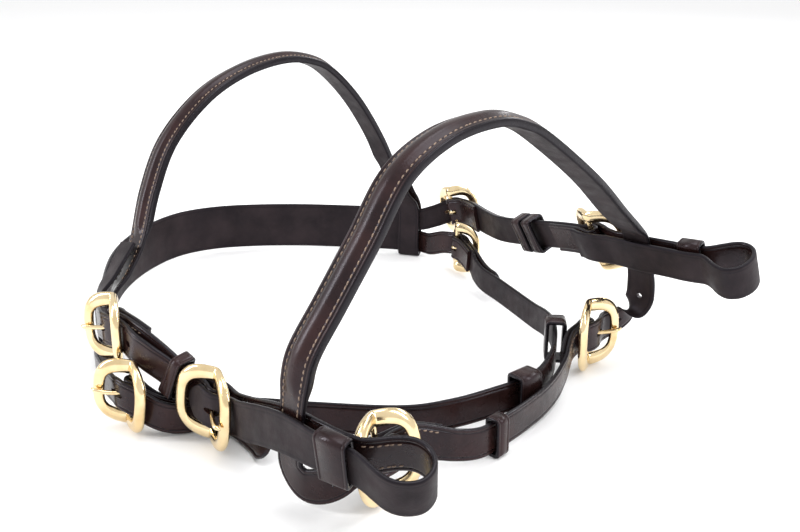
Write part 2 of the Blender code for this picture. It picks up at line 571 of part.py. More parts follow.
def build():
    for thing in list(bpy.data.objects):
        bpy.data.objects.remove(thing)
    leather = material("havana_leather", (0.030, 0.014, 0.012), 0.35)
    brass = material("polished_brass", (0.80, 0.62, 0.36), 0.22, 1.0)

    cheek_r, cheek_l = Carrier(CHEEK_RIGHT, 5, 10), Carrier(CHEEK_LEFT, 3, 10)
    throat, billet = Carrier(THROAT, 5, 25), Carrier(BILLET, 5)
    rear, front, brow = Carrier(REAR_NOSE, 1, 13), Carrier(FRONT_NOSE, 2, 29), Carrier(BROWBAND)
    (upper_r, lower_r), (upper_l, lower_l) = cheek_r.bars, cheek_l.bars
    (throat_r, throat_l), (nose_r, nose_l) = throat.bars, rear.bars
    hold_r, hold_l = cheek_r.knot(16) - 2, cheek_l.knot(14)

    big = frame_mesh(15.6, 16.3, brass), tongue_mesh(15.6, brass)
    small = frame_mesh(13.8, 14.3, brass), tongue_mesh(13.8, brass)
    place_buckle("crown_buckle_right", small, cheek_r, upper_r, -1)
    place_buckle("crown_buckle_left", small, cheek_l, upper_l, -1)
    place_buckle("cheek_buckle_right", big, cheek_r, lower_r, 1)
    place_buckle("cheek_buckle_left", big, cheek_l, lower_l, 1)
    place_buckle("throat_buckle_right", small, throat, throat_r, -1)
    place_buckle("throat_buckle_left", small, throat, throat_l, 1)
    place_buckle("noseband_buckle_right", big, rear, nose_r, -1)
    place_buckle("noseband_buckle_left", big, rear, nose_l, 1)

    headpiece(cheek_r, cheek_l, throat, billet, (upper_r, lower_r, upper_l, throat_r, throat_l),
              leather)
    cheekpiece("cheekpiece_right", cheek_r, upper_r, lower_r, 26, leather)
    cheekpiece("cheekpiece_left", cheek_l, upper_l, lower_l, 34, leather)
    bit_strap("bit_strap_right", cheek_r, lower_r, hold_r, 40, leather)
    bit_strap("bit_strap_left", cheek_l, lower_l, hold_l, 33, leather)
    buckled_strap("throat_strap", throat, throat_r, throat_l, NARROW, 24, leather)
    buckled_strap("noseband_rear", rear, nose_r, nose_l, NARROW, 34, leather)
    noseband_front(front, leather)
    loops = (*range(2, 11), *range(24, 33))
    stops = [0, *(brow.knot(k) for k in loops), brow.length]
    ribbon("browband", brow, straight(*[(s, 0) for s in stops]), NARROW, leather,
           thick=padded(brow.knot(12), brow.knot(22)))

    billet_top = ON_TOP + LEATHER / 2
    stack = (-ON_TOP + LEATHER / 2, billet_top)
    outer = (1.6, 4.4)
    keeper("cheek_keeper_right", cheek_r, lower_r - 25, *stack, WIDE, 7, leather)
    keeper("cheek_keeper_left", cheek_l, cheek_l.knot(7) + 2, *stack, WIDE, 8, leather)
    keeper("cheek_runner_left", cheek_l, cheek_l.knot(7) + 13, *stack, WIDE, 8, leather)
    keeper("bit_keeper_right", cheek_r, hold_r, *outer, WIDE, 14, leather, room=0.6)
    keeper("bit_keeper_left", cheek_l, hold_l, *outer, WIDE, 13, leather, room=0.6)
    keeper("connector_loop", throat, throat.knot(14), -2, 5, WIDE, 14, leather)
    keeper("throat_runner", throat, throat.knot(17) + 8, -3, 4, NARROW + 4, 11, leather)
    keeper("noseband_keeper", rear, rear.knot(6), -1.5, 2.4, NARROW, 8, leather)


build()
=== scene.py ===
"""Looks of the leather headcollar: fine straps, keepers, stitching and polished brass buckles.

Straps follow the same carriers and routes as the CAD part, in millimetres, and become metres
when a mesh is made. s is the distance along a carrier and n the height above it.
"""

import json
from math import ceil, cos, floor, pi, radians, sin

import bpy
import numpy as np
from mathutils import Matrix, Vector

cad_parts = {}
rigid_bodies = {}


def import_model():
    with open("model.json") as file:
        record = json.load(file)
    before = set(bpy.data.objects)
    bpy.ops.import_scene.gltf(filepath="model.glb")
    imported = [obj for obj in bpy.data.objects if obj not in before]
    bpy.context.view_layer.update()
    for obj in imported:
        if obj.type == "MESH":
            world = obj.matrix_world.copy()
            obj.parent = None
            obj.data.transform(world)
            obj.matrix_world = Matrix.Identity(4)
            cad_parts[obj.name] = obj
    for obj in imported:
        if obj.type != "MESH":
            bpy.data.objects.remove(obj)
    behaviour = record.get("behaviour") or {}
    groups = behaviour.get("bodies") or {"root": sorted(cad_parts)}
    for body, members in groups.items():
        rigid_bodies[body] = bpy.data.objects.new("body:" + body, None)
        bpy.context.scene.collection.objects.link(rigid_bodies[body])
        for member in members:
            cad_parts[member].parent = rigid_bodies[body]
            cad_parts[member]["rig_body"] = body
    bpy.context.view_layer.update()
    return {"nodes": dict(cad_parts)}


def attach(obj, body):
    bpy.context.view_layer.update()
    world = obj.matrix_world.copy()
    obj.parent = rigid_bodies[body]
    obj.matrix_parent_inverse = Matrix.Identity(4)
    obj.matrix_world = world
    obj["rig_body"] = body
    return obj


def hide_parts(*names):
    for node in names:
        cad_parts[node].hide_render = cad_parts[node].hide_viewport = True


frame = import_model()

MM = 0.001
ORIGIN = np.array([-0.7, -0.2, 0.09])       # the frame's origin, in the carriers' millimetres

# ---- the part's driving dimensions ---------------------------------------------------------
LEATHER = 2.2            # thickness of a strap
GAP = 0.35               # air between neighbouring pieces
WIDE = 19.0              # width of cheek and bit straps
NARROW = 16.0            # width of billets, throat strap and browband
SLIT = 0.6               # gap between the crown strap's two billets
RAISED = 6.4             # thickness of the padded fronts
FRONT = 17.0             # width of the noseband's front
SWELL = 1.16             # how much wider it is where it is padded
ROW = 6.0                # spacing of the part's rows along a strap
HOLE = 3.2               # width of holes and of the slots for tongues
BAR = 1.5                # radius of a hinge bar
WIRE = 1.1               # radius of a tongue
SIDE_LIFT = 7.6          # height of a buckle's side bars over its hinge bar
KEEPER = 1.9             # thickness of a keeper
SIDE_BAR = (3.2, 2.1)    # half width and half height of a buckle's side bars
END_BAR = (3.8, 2.2)     # the same at the ends of its hinge bar
EYE = BAR + GAP + LEATHER / 2               # radius of a fold round a hinge bar
LAYER = (LEATHER + GAP) / 2                 # height of each of two layers
ON_TOP = LAYER + LEATHER + GAP              # height of a third layer
OVER_EYE = EYE + LEATHER + GAP              # height of a strap over a fold
SLOT = EYE + LEATHER / 2 + 0.75             # reach of a fold's slot past the hinge bar

# ---- details that only the looks have ------------------------------------------------------
CREASE = 2.0             # distance of a strap's crease line from its edge
EDGE_SPAN = 10.0         # distance over which the strap coordinate falls from 1 at an edge to 0
SHARP_ANGLE = 55         # edges sharper than this many degrees are not shaded smooth
PITCH = 1.0              # distance between the fine rows of a strap
EDGE = (0.0, 0.3, 0.8, 1.4, CREASE, 2.6, 3.2, 3.8)  # columns, measured in from an edge
CREASED = (0.66, 0.92, 1.0, 1.0, 0.84, 1.0)         # height of the outer face at the first six
ROUNDED = (0.34, 0.08, 0.0)                         # height of the flesh side at the first three
TIP_POWER = 1.7          # roundness of a strap's tip
FLANGE = 3.9             # flat border beside the padding
SECOND = 0.48            # share of the padding's rise that its border has too
DOME_POWER = 2.2         # roundness of the padding
PAD_RISE = 12.0          # length over which the padding rises
SWELL_RISE = 20.0        # length over which the padded noseband widens
STITCH_ROOM = 2.4        # length of strap that one stitch takes up
STITCH_LEAN = 0.12       # how far stitches slant
STITCH = ((-1.0, 0.12, -0.2), (-0.7, 0.30, 0.02), (0.0, 0.36, 0.10), (0.7, 0.30, 0.02),
          (1.0, 0.12, -0.2))                # place along, radius and height of a stitch's rings

# ---- the part's carriers: x, y, z and the direction of the width ---------------------------
UP = (0, 0, 1)
DOWN = (0, 0, -1)
HEAD_Z = 19.5
HEAD_MAIN = [(-80, -113.3), (-105, -101.5), (-145, -74), (-172, -47), (-190, -18), (-198, 10),
             (-193, 36), (-178, 60), (-154, 86), (-125, 110), (-102, 127), (-88, 135)]
CHEEK_RIGHT = [
    (-80, -113.3, 27.8, *UP), (-72, -117.8, 28, *UP), (-64, -123.5, 30, *UP),
    (-54, -130.5, 36, *UP), (-40, -136.5, 41, .1, .05, 1), (-25, -137, 43, .1, .05, 1),
    (-10, -137, 43, .1, .05, 1),
    (8, -135, 38.5, *UP), (24, -131.5, 30, *UP), (34, -129.5, 26, *UP), (45, -128, 22.6, *UP),
    (56, -127.6, 21.8, *UP), (70, -128.2, 24.5, *UP), (92, -130.4, 30.8, *UP),
    (108, -132, 34.2, *UP), (124, -132.4, 35.2, 0, -.1, 1), (138, -130.8, 35, 0, -.2, 1),
    (156, -125, 33.5, 0, -.3, 1), (176, -118, 31, 0, -.3, 1)]
CHEEK_LEFT = [
    (-88, 135, 27.8, *DOWN), (-79, 139.5, 28.2, *DOWN), (-69, 145, 32, *DOWN),
    (-56, 149.5, 37.5, 0, .1, -1), (-40, 147, 39.5, 0, .15, -1), (-14, 134, 41, 0, .25, -1),
    (9, 122, 44, 0, .35, -1), (37, 112, 50, 0, .4, -1), (71, 102, 58, 0, .45, -1),
    (86, 98, 61, 0, .45, -1), (101, 94.5, 63.3, 0, .45, -1), (116, 92, 64.4, 0, .42, -1),
    (131, 90, 65, 0, .4, -1), (150, 90, 66, 0, .4, -1), (163, 89, 67, 0, .4, -1),
    (180, 90, 69, 0, .4, -1), (200, 92, 71, 0, .4, -1)]
THROAT = [
    (-80, -113.3, 11.2, *UP), (-72, -117.8, 11.2, *UP), (-63, -125, 11.6, *UP),
    (-47, -138, 15, *UP), (-17, -147.5, 18.8, *UP), (0, -146, 19, *UP), (12, -141, 13.2, *UP),
    (20, -132, 9.4, *UP), (31, -117.5, 9.2, *UP), (50, -104, 10.5, *UP), (71, -91, 11.5, *UP),
    (103, -64, 11.5, *UP), (116, -42, 11.8, *UP), (123, -17, 12, *UP), (126, -1, 12.2, *UP),
    (126, 14, 13.4, *UP), (121, 30, 16.5, *UP), (111, 46, 18, *UP), (99, 60, 18, *UP),
    (86, 71, 16, *UP), (70, 81, 13, *UP), (50, 91, 12, *UP), (27, 101, 12, *UP),
    (4, 110, 12.5, *UP), (-20, 124, 17, *UP), (-36, 131, 19.4, *UP), (-52, 134.5, 18, *UP),
    (-68, 137, 12.5, *UP), (-79, 139.3, 11.2, *UP), (-88, 135, 11.2, *UP)]
BILLET = [
    (-80, -113.3, 11.2, *UP), (-72, -117.8, 11.2, *UP), (-63, -125, 11.6, *UP),
    (-47, -138, 15, *UP), (-17, -147.5, 18.8, *UP), (0, -146, 19, *UP), (12, -141, 13.2, *UP),
    (21, -134, 9.2, *UP), (30, -122.5, 8.6, *UP), (42, -117.5, 8.6, *UP),
    (62, -118.5, 8.4, 0, .3, 1), (76, -122, 7.8, 0, .6, 1)]
LEAN, UNLEAN = (-.22, 0, 1), (.22, 0, -1)
REAR_NOSE = [
    (128.8, -121, 20.4, *LEAN), (129, -104, 20.4, *LEAN), (129.4, -86, 20, *LEAN),
    (133, -74, 16.5, -.1, 0, 1), (138.5, -63, 12.5, *UP), (142, -52, 10.5, *UP),
    (142.5, -41, 10.5, *UP), (142, -30, 10.5, *UP),
    (140, -16, 9.8, *UP), (136, 6, 9.6, *UP), (130, 26, 11.5, *UP), (122, 41, 16, *UP),
    (117.5, 52, 19, *UP), (116.5, 68, 20.4, *UP), (116.5, 84, 20.4, *UP)]
FRONT_NOSE = [
    (133, -74, 16.5, .1, 0, -1), (129.4, -86, 20, *UNLEAN), (129, -104, 20.4, *UNLEAN),
    (128.8, -118.5, 20.4, .1, 0, -1), (124, -126.5, 14.5, -.1, 0, -1),
    (114, -131, 11, -.35, 0, -1),
    (106, -132, 16.5, -.8, .05, -.5), (105.5, -131.9, 26, -1, .1, -.1),
    (107, -131.9, 36, -1, .1, 0), (108, -131.7, 47, -1, .1, 0), (109, -131, 58, -1, 0, 0),
    (111, -128, 71, -1, 0, 0), (115, -117, 90, -1, 0, 0), (119, -102, 114, -1, 0, 0),
    (121, -85, 138, -1, 0, 0), (123, -61, 151, -1, 0, 0), (125, -34, 154.5, -1, 0, 0),
    (126, -15, 150.5, -1, 0, 0), (127, 2, 142, -1, 0, 0), (129, 38, 117, -1, 0, 0),
    (130, 64, 95, -1, 0, 0), (130.5, 78, 84, -1, .08, 0), (131, 85.6, 76, -1, .08, 0),
    (131, 90, 65, -1, .08, 0), (131, 94, 55, -1, .08, 0), (130.5, 97, 45, -1, 0, 0),
    (128.5, 99, 34, -1, 0, -.2), (122, 96, 24.5, -.4, 0, -.9), (116.5, 84, 20.4, *DOWN),
    (116.5, 68, 20.4, *DOWN), (117.5, 52, 19, *DOWN), (122, 41, 16, *DOWN)]
SLANT_R, SLANT_L = (-.865, .5, 0), (-.886, -.464, 0)
BROWBAND = [
    (-82.5, -95, 64, -.97, .2, 0), (-80, -107.6, 50, -.93, .35, 0), (-79.9, -118, 37, *SLANT_R),
    (-80, -118.6, 14, *SLANT_R), (-80, -118.6, 5, *SLANT_R), (-79.3, -117.2, 1.8, *SLANT_R),
    (-78, -114.4, 1.2, *SLANT_R), (-77, -112.4, 1.8, *SLANT_R), (-76.5, -111.5, 5, *SLANT_R),
    (-76.5, -111.5, 14, *SLANT_R), (-76.5, -111.1, 37, *SLANT_R),
    (-78.5, -100, 50, -.95, .3, 0), (-82, -89.5, 64, -1, .1, 0), (-88, -76.5, 90, -1, 0, 0),
    (-90, -61, 116, -1, 0, 0), (-90, -36, 138, -1, 0, 0), (-90, -8, 150.5, -1, 0, 0),
    (-90, 22, 155.5, -1, 0, 0), (-90, 45, 152.5, -1, 0, 0), (-90, 62, 144, -1, 0, 0),
    (-90, 84, 123, -1, 0, 0), (-90, 104, 95, -1, 0, 0), (-89, 116, 70, -1, -.1, 0),
    (-87, 125, 49, -.95, -.3, 0), (-85.5, 132.4, 37, *SLANT_L), (-85.5, 132.6, 14, *SLANT_L),
    (-85.5, 132.6, 5, *SLANT_L), (-86, 133.6, 1.8, *SLANT_L), (-87, 135.5, 1.2, *SLANT_L),
    (-88, 137.4, 1.8, *SLANT_L), (-88.5, 138.4, 5, *SLANT_L), (-88.5, 138.4, 14, *SLANT_L),
    (-88.5, 138.2, 37, *SLANT_L), (-88.5, 132, 50, -.95, -.3, 0),
    (-89, 125, 64, -.97, -.2, 0)]


def smooth(rows, steps=12):
    """Catmull-Rom curve through rows of numbers, as one array."""
    rows = np.array(rows, float)
    rows = np.vstack([rows[0] * 2 - rows[1], rows, rows[-1] * 2 - rows[-2]])
    curve = []
    for a, b, c, d in zip(rows, rows[1:], rows[2:], rows[3:]):
        for t in np.arange(steps) / steps:
            curve.append(0.5 * (2 * b + (c - a) * t + (2 * a - 5 * b + 4 * c - d) * t * t
                                + (3 * b - a - 3 * c + d) * t ** 3))
    return np.array(curve + [rows[-2]])


def unit(vectors):
    return vectors / np.linalg.norm(vectors, axis=-1, keepdims=True)


class Carrier:
    """A smooth curve in space with a width direction, measured by its length s."""

    STEPS = 12      # points of the curve from one knot to the next
    SEAT = 5.0      # half the straight stretch at a hinge bar
    AIM = 1.5       # half the length over which a direction is measured

    def __init__(self, rows, *bars):
        table = smooth(rows, self.STEPS)
        self.places, self.widths = table[:, :3], table[:, 3:]
        lengths = np.linalg.norm(np.diff(self.places, axis=0), axis=1)
        self.run = np.concatenate([[0], np.cumsum(lengths)])
        self.length = self.run[-1]
        self.bars = [self.knot(index) for index in bars]

    def knot(self, index):
        """Length at which the curve passes a row of its list."""
        return self.run[int(index * self.STEPS)]

    def place(self, s):
        """Point of the curve, which goes straight on past its ends."""
        inside = min(max(s, 0), self.length)
        point = np.array([np.interp(inside, self.run, column) for column in self.places.T])
        if s != inside:
            ends = (self.places[1], self.places[0]) if s < 0 else self.places[-2:]
            point = point + unit(ends[1] - ends[0]) * abs(s - inside)
        return point

    def axes(self, s):
        """Unit vectors along the strap, across it and out of its outer face."""
        s = min([bar for bar in self.bars if abs(bar - s) < self.SEAT], default=s)
        along = unit(self.place(s + self.AIM) - self.place(s - self.AIM))
        inside = min(max(s, 0), self.length)
        across = np.array([np.interp(inside, self.run, column) for column in self.widths.T])
        across = unit(across - along * (across @ along))
        return along, across, np.cross(along, across)

    def point(self, s, n, y):
        """Point at height n above the curve and y across it."""
        along, across, out = self.axes(s)
        bar = min([bar for bar in self.bars if abs(bar - s) < self.SEAT], default=s)
        return self.place(bar) + (s - bar) * along + n * out + y * across


# ---- materials -----------------------------------------------------------------------------
class Nodes:
    """Small helper that adds and links the nodes of one material."""

    def __init__(self, name):
        self.material = bpy.data.materials.new(name)
        self.material.use_nodes = True
        self.tree = self.material.node_tree
        self.shader = self.tree.nodes["Principled BSDF"]

    def add(self, kind, inputs=None, **settings):
        node = self.tree.nodes.new(kind)
        for key, value in settings.items():
            setattr(node, key, value)
        for key, value in (inputs or {}).items():
            if isinstance(value, bpy.types.NodeSocket):
                self.tree.links.new(value, node.inputs[key])
            else:
                node.inputs[key].default_value = value
        return node

    def noise(self, place, scale, detail=4.0):
        made = self.add("ShaderNodeTexNoise", {"Vector": place, "Scale": scale, "Detail": detail})
        return made.outputs["Fac"]

    def ramp(self, value, low, high, low_to=0.0, high_to=1.0):
        made = self.add("ShaderNodeMapRange", {"Value": value, "From Min": low, "From Max": high,
                                               "To Min": low_to, "To Max": high_to})
        return made.outputs["Result"]

    def mix(self, share, first, second):
        made = self.add("ShaderNodeMix", data_type="RGBA")
        sockets = [s for s in made.inputs if s.enabled]
        for socket, value in zip(sockets, (share, first, second)):
            if isinstance(value, bpy.types.NodeSocket):
                self.tree.links.new(value, socket)
            else:
                socket.default_value = value if isinstance(value, float) else (*value, 1)
        return next(s for s in made.outputs if s.enabled)

    def bump(self, height, strength, distance, below=None):
        inputs = {"Height": height, "Strength": strength, "Distance": distance}
        if below:
            inputs["Normal"] = below
        return self.add("ShaderNodeBump", inputs).outputs["Normal"]

    def set(self, **values):
        for name, value in values.items():
            socket = self.shader.inputs[name.replace("_", " ")]
            if isinstance(value, bpy.types.NodeSocket):
                self.tree.links.new(value, socket)
            else:
                socket.default_value = value


def leather_material(name, dark, light, edge, roughness, coat, pores):
    """Dyed leather: cloudy dye, fine pores, darker crease lines and edges, a waxed gloss."""
    n = Nodes(name)
    place = n.add("ShaderNodeTexCoord").outputs["Object"]
    across = n.add("ShaderNodeUVMap", uv_map="strap").outputs["UV"]
    across = n.add("ShaderNodeSeparateXYZ", {"Vector": across}).outputs["Y"]
    clouds = n.ramp(n.noise(place, 55.0, 5.0), 0.35, 0.7)
    colour = n.mix(clouds, dark, light)
    streaks = n.ramp(n.noise(place, 320.0, 3.0), 0.55, 0.75, 0.0, 0.35)
    colour = n.mix(streaks, colour, light)
    off_crease = n.add("ShaderNodeMath", {0: across, 1: 1 - CREASE / EDGE_SPAN},
                       operation="SUBTRACT").outputs[0]
    off_crease = n.add("ShaderNodeMath", {0: off_crease}, operation="ABSOLUTE").outputs[0]
    colour = n.mix(n.ramp(off_crease, 0.02, 0.055, 0.7, 0.0), colour, edge)
    colour = n.mix(n.ramp(across, 0.91, 0.975), colour, edge)
    grain = n.add("ShaderNodeTexVoronoi", {"Vector": place, "Scale": pores},
                  feature="F1").outputs["Distance"]
    bump = n.bump(grain, 0.16, 0.00025)
    bump = n.bump(n.noise(place, pores * 0.35, 6.0), 0.22, 0.0003, bump)
    low, high = roughness
    n.set(Base_Color=colour, Roughness=n.ramp(n.noise(place, 140.0, 4.0), 0.3, 0.7, low, high),
          Normal=bump, Coat_Weight=coat, Coat_Roughness=0.2, Coat_IOR=1.35,
          Specular_IOR_Level=0.2, Specular_Tint=(0.90, 0.84, 1.0, 1))
    return n.material


def brass_material():
    """Cast brass, polished, with faint brush marks and a little tarnish in patches."""
    n = Nodes("polished_brass")
    place = n.add("ShaderNodeTexCoord").outputs["Object"]
    patches = n.ramp(n.noise(place, 90.0, 4.0), 0.45, 0.75)
    colour = n.mix(patches, (0.86, 0.69, 0.42), (0.70, 0.51, 0.26))
    stretched = n.add("ShaderNodeMapping", {"Vector": place, "Scale": (1.0, 6.0, 1.0)})
    marks = n.noise(stretched.outputs["Vector"], 900.0, 3.0)
    n.set(Base_Color=colour, Metallic=1.0, Roughness=n.ramp(patches, 0.0, 1.0, 0.13, 0.27),
          Normal=n.bump(marks, 0.05, 0.0001))
    return n.material


def thread_material():
    """Waxed linen thread."""
    n = Nodes("linen_thread")
    place = n.add("ShaderNodeTexCoord").outputs["Object"]
    fibres = n.noise(place, 2600.0, 3.0)
    colour = n.mix(n.ramp(fibres, 0.3, 0.7), (0.14, 0.09, 0.065), (0.36, 0.26, 0.19))
    n.set(Base_Color=colour, Roughness=0.62, Normal=n.bump(fibres, 0.5, 0.0002))
    return n.material


EDGE_PAINT = (0.0045, 0.0032, 0.0040)
GRAIN = leather_material("bridle_leather", dark=(0.0110, 0.0050, 0.0046),
                         light=(0.0290, 0.0120, 0.0105), edge=EDGE_PAINT,
                         roughness=(0.22, 0.38), coat=0.22, pores=1500.0)
FLESH = leather_material("flesh_side", dark=(0.010, 0.0068, 0.0070),
                         light=(0.024, 0.0165, 0.0170), edge=EDGE_PAINT,
                         roughness=(0.45, 0.62), coat=0.0, pores=2200.0)
BRASS = brass_material()
THREAD = thread_material()


# ---- mesh making ---------------------------------------------------------------------------
class Shape:
    """Points in millimetres and faces, each with a material and a strap coordinate."""

    def __init__(self, *finishes):
        self.points, self.faces, self.slots, self.strap = [], [], [], []
        self.finishes = finishes
        self.count = 0

    def add(self, points, faces, slot=0, strap=None):
        points = np.asarray(points, float).reshape(-1, 3)
        self.points.append(points)
        self.strap.append(np.zeros((len(points), 2)) if strap is None else strap)
        self.faces += [[self.count + k for k in face] for face in faces]
        self.slots += [slot] * len(faces) if isinstance(slot, int) else list(slot)
        self.count += len(points)

    def piece(self, node, slot):
        """Make the object and let it stand for a CAD node on the node's own body."""
        mesh = bpy.data.meshes.new(f"{node}_looks")
        points = (np.vstack(self.points) - ORIGIN) * MM
        mesh.from_pydata(points.tolist(), [], self.faces)
        for finish in self.finishes:
            mesh.materials.append(finish)
        mesh.polygons.foreach_set("material_index", self.slots)
        strap = np.vstack(self.strap)
        corners = np.empty(len(mesh.loops), int)
        mesh.loops.foreach_get("vertex_index", corners)
        layer = mesh.uv_layers.new(name="strap")
        layer.data.foreach_set("uv", strap[corners].ravel())
        mesh.shade_smooth()
        mesh.set_sharp_from_angle(angle=radians(SHARP_ANGLE))
        thing = bpy.data.objects.new(f"{node}_looks", mesh)
        bpy.context.scene.collection.objects.link(thing)
        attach(thing, frame["nodes"][node]["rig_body"])
        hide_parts(node)


def tube(shape, centres, sections, closed, slot=0):
    """Add a tube whose sections are offsets round each centre."""
    sides, count = len(sections[0]), len(centres)
    points = [c + offset for c, section in zip(centres, sections) for offset in section]
    faces = []
    for i in range(count if closed else count - 1):
        a, b = i * sides, (i + 1) % count * sides
        faces += [[a + k, a + (k + 1) % sides, b + (k + 1) % sides, b + k] for k in range(sides)]
    if not closed:
        faces += [list(range(sides))[::-1], list(range(len(points) - sides, len(points)))]
    shape.add(points, faces, slot)


def blurred(values, passes):
    """Rows averaged with their neighbours; the two ends stay."""
    for _ in range(passes):
        values = np.vstack([values[:1], (values[:-2] + 2 * values[1:-1] + values[2:]) / 4,
                            values[-1:]])
    return values


class Strap:
    """Fine rows of a strap along a route on a carrier."""

    def __init__(self, carrier, route, width, thick=LEATHER, tips=(0, 0), holes=(), slots=(),
                 swell=lambda s: 1.0):
        route = np.array(route, float)
        run = np.concatenate([[0], np.cumsum(np.hypot(*np.diff(route, axis=0).T))])
        fine = np.linspace(0, run[-1], int(run[-1] / (PITCH / 2)) + 1)
        route = blurred(np.column_stack([np.interp(fine, run, c) for c in route.T]), 3)[::2]
        self.s = route[:, 0]
        self.base = blurred(np.array([carrier.point(s, n, 0) for s, n in route]), 2)
        across = blurred(np.array([carrier.axes(s)[1] for s in self.s]), 2)
        self.frame_rows(across)
        self.width, self.holes, self.slots = width, holes, slots
        height = [thick(s) if callable(thick) else thick for s in self.s]
        self.height = np.array(height)
        self.narrow = np.array([swell(s) for s in self.s])
        for tip, left in zip(tips, (self.run, self.run[-1] - self.run)):
            if tip:
                share = np.clip(left / tip, 0.02, 1)
                rounded = np.sqrt(1 - (1 - share) ** TIP_POWER)
                self.narrow = np.minimum(self.narrow, rounded)

    def frame_rows(self, across):
        """Length run so far and unit vectors along, across and out, for each row."""
        lengths = np.linalg.norm(np.diff(self.base, axis=0), axis=1)
        self.run = np.concatenate([[0], np.cumsum(lengths)])
        self.along = unit(np.gradient(self.base, axis=0))
        dots = np.sum(across * self.along, axis=1, keepdims=True)
        self.across = unit(across - self.along * dots)
        self.out = np.cross(self.along, self.across)

    def columns(self):
        """Places of the columns across the strap, closest together at edges and holes."""
        half = self.width / 2
        edge = [-half + e for e in EDGE]
        middle = np.linspace(edge[-1], -HOLE / 2, 3)[1:]
        left = [*edge, *middle, -HOLE / 4]
        return np.array([*left, 0, *[-y for y in reversed(left)]])

    def tops(self, y):
        """Height of the outer face at columns y, for each row."""
        inset = self.width / 2 - np.abs(y)
        height = self.height[:, None]
        border = np.interp(inset, EDGE[:len(CREASED)], CREASED)
        dome = np.clip((inset - FLANGE) / (self.width / 2 - FLANGE), 0, 1)
        dome = SECOND + (1 - SECOND) * np.sqrt(1 - (1 - dome) ** DOME_POWER)
        return -height / 2 + LEATHER * border + (height - LEATHER) * dome

    def bottoms(self, y):
        """Height of the flesh side at columns y, for each row."""
        inset = self.width / 2 - np.abs(y)
        border = np.interp(inset, EDGE[:len(ROUNDED)], ROUNDED)
        return -self.height[:, None] / 2 + LEATHER * border

    def add_to(self, shape):
        """Add both faces and the edges, with the slots and the round holes cut out."""
        y = self.columns()
        rows, cols = len(self.s), len(y)
        spread = y[None, :] * self.narrow[:, None]
        shift = np.zeros((rows, cols))
        solid = np.ones((rows - 1, cols - 1), bool)
        mid_s = (self.s[1:] + self.s[:-1]) / 2
        inside = np.abs((y[1:] + y[:-1]) / 2) < HOLE / 2
        for low, high in self.slots:
            solid[np.ix_((mid_s > low) & (mid_s < high), inside)] = False
        for low, high in self.holes:
            cut = np.flatnonzero((mid_s > low) & (mid_s < high))
            cut = np.split(cut, np.flatnonzero(np.diff(cut) > 1) + 1)[-1]
            if not len(cut):
                continue
            solid[np.ix_(cut, inside)] = False
            first, last = cut[0], cut[-1] + 1
            centre = (self.run[first] + self.run[last]) / 2
            reach = (self.run[last] - self.run[first]) / 2
            u = ((self.run[first:last + 1] - centre) / reach)[:, None]
            v = (y / (HOLE / 2))[None, :]
            size, radius = np.maximum(abs(u), abs(v)), np.hypot(u, v)
            near = size <= 1.001
            scale = np.where(near, size / np.maximum(radius, 1e-6), 1)
            spread[first:last + 1] *= scale
            shift[first:last + 1] += np.where(near, u * (scale - 1) * reach, 0)
        flat = (self.base[:, None] + self.across[:, None] * spread[..., None]
                + self.along[:, None] * shift[..., None])
        outer = flat + self.out[:, None] * self.tops(y)[..., None]
        inner = flat + self.out[:, None] * self.bottoms(y)[..., None]
        points = np.vstack([outer.reshape(-1, 3), inner.reshape(-1, 3)])
        share = 1 - (self.width / 2 - np.abs(y)) / EDGE_SPAN
        strap = np.tile(np.column_stack([np.repeat(self.run * MM, cols), np.tile(share, rows)]),
                        (2, 1))
        faces, slots = [], []
        below = rows * cols
        filled = np.pad(solid, 1)
        for i, j in zip(*np.nonzero(solid)):
            ring = [i * cols + j, (i + 1) * cols + j, (i + 1) * cols + j + 1, i * cols + j + 1]
            faces += [ring, [below + k for k in reversed(ring)]]
            slots += [0, 1]
            beside = (filled[i + 1, j], filled[i + 2, j + 1], filled[i + 1, j + 2],
                      filled[i, j + 1])
            for k, full in enumerate(beside):
                if not full:
                    a, b = ring[k], ring[(k + 1) % 4]
                    faces.append([below + a, below + b, b, a])
                    slots.append(0)
        shape.add(points, faces, slots, strap)

    def stitch(self, shape, low, high, inset=3.1, pitch=2.9, pick=None):
        """Two rows of stitches between two lengths of s, where the strap runs along pick."""
        rows = np.flatnonzero((self.s > low) & (self.s < high))
        if pick is not None:
            rows = rows[self.along[rows] @ pick > 0]
        if len(rows) < 3:
            return
        runs = np.arange(self.run[rows[0]] + 1, self.run[rows[-1]] - STITCH_ROOM, pitch)
        for y in (-self.width / 2 + inset, self.width / 2 - inset):
            tops = self.tops(np.array([y]))[:, 0]
            for start in runs:
                i = min(np.searchsorted(self.run, start + STITCH_ROOM / 2), len(self.run) - 1)
                along, across, out = self.along[i], self.across[i], self.out[i]
                middle = self.base[i] + across * y * self.narrow[i] + out * tops[i]
                lean = along + across * STITCH_LEAN
                centres, sections = [], []
                for place, radius, rise in STITCH:
                    centres.append(middle + lean * place + out * rise)
                    sections.append([radius * (across * cos(a) + out * sin(a))
                                     for a in np.arange(6) * pi / 3])
                tube(shape, centres, sections, False, slot=2)


# ---- routes, as in the CAD part ------------------------------------------------------------
def straight(*stops, clear=1.5):
    """Route through (s, n) stops, with a point on each row of the part clear of a stop."""
    route = []
    for (s0, n0), (s1, n1) in zip(stops, stops[1:]):
        low, high = sorted((s0, s1))
        rows = range(ceil((low + clear) / ROW), floor((high - clear) / ROW) + 1)
        cuts = [k * ROW for k in rows]
        if s1 < s0:
            cuts.reverse()
        route += [(s0, n0)] + [(c, n0 + (n1 - n0) * (c - s0) / (s1 - s0)) for c in cuts]
    return route + [stops[-1]]


